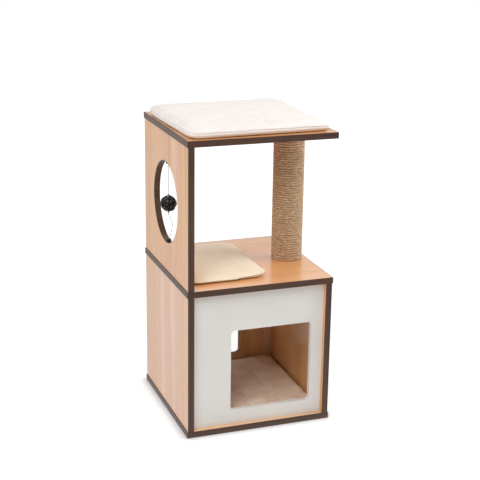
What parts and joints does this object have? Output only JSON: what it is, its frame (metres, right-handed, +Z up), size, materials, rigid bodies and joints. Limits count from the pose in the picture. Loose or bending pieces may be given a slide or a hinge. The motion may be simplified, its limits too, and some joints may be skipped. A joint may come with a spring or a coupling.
{
  "type": "cat condo",
  "caption": "Square cat condo: a box den with a front door, an open bay with a porthole side and a sisal post, a cushioned top and a ball toy strung across the porthole.",
  "frame": {"origin": "middle of the square footprint, on the floor, under the base board", "axes": "+Z up; the door faces -Y; the porthole side board is on the -X side and the sisal post near +X"},
  "size_m": [0.3755, 0.365, 0.745],
  "materials": {
    "wood_laminate": "satin wood-grain laminate",
    "edge_band": "dark brown edge banding",
    "white_panel": "off-white satin melamine",
    "cardboard_tube": "kraft tube",
    "plain_wood": "bare wood",
    "sisal": "twisted natural sisal rope",
    "steel": "zinc-plated steel",
    "brass": "turned brass",
    "zinc": "die-cast zinc",
    "cap_plastic": "wood-coloured plastic cap",
    "white_plush": "short-pile cream-white plush",
    "beige_plush": "short-pile beige plush",
    "foam": "polyurethane foam slab",
    "tape": "hook and loop tape",
    "elastic": "braided elastic cord",
    "black_plastic": "moulded black plastic",
    "black_rattan": "dyed woven rattan"
  },
  "bodies": {
    "frame": {"base_board": "wood_laminate", "base_edge_band": "edge_band", "left_side_board": "wood_laminate", "left_side_edge_bands": "edge_band", "right_side_board": "wood_laminate", "right_side_edge_bands": "edge_band", "front_panel": "white_panel", "back_board": "wood_laminate", "back_window_lining": "edge_band", "shelf_board": "wood_laminate", "shelf_edge_band": "edge_band", "upper_side_board": "wood_laminate", "upper_side_edge_bands": "edge_band", "porthole_lining": "edge_band", "top_board": "wood_laminate", "top_edge_band": "edge_band", "post_tube": "cardboard_tube", "post_bottom_plug": "plain_wood", "post_top_plug": "plain_wood", "sisal_rope": "sisal", "post_bolts": "steel", "post_washers": "steel", "post_insert_nuts": "brass", "cam_discs": "zinc", "cam_bolts": "steel", "cam_caps": "cap_plastic", "wood_dowels": "plain_wood", "small_dowels": "plain_wood", "base_screws": "steel", "top_cushion": "white_plush", "top_cushion_foam": "foam", "shelf_cushion": "beige_plush", "shelf_cushion_foam": "foam", "den_cushion": "beige_plush", "den_cushion_foam": "foam", "hook_tapes": "tape", "loop_tapes": "tape", "top_cord_anchor": "black_plastic", "bottom_cord_anchor": "black_plastic", "bottom_stopper_knot": "elastic", "lower_cord": "elastic"},
    "toy_knot": {"top_stopper_knot": "elastic"},
    "toy_cord": {"upper_cord": "elastic", "ball_knots": "elastic"},
    "toy_ball": {"toy_ball": "black_rattan"}
  },
  "joints": [
    {"name": "toy_swing_through", "type": "hinge", "parent": "frame", "child": "toy_knot", "pos_m": [-0.173, 0, 0.63314], "axis": [0, 1, 0], "range_deg": [-15, 15], "deforming": ["lower_cord"]},
    {"name": "toy_swing_along", "type": "hinge", "parent": "toy_knot", "child": "toy_cord", "pos_m": [-0.173, 0, 0.63314], "axis": [1, 0, 0], "range_deg": [-15, 15], "deforming": ["lower_cord"]},
    {"name": "ball_spin", "type": "hinge", "parent": "toy_cord", "child": "toy_ball", "pos_m": [-0.173, 0, 0.532], "axis": [0, 0, 1], "continuous": true}
  ]
}
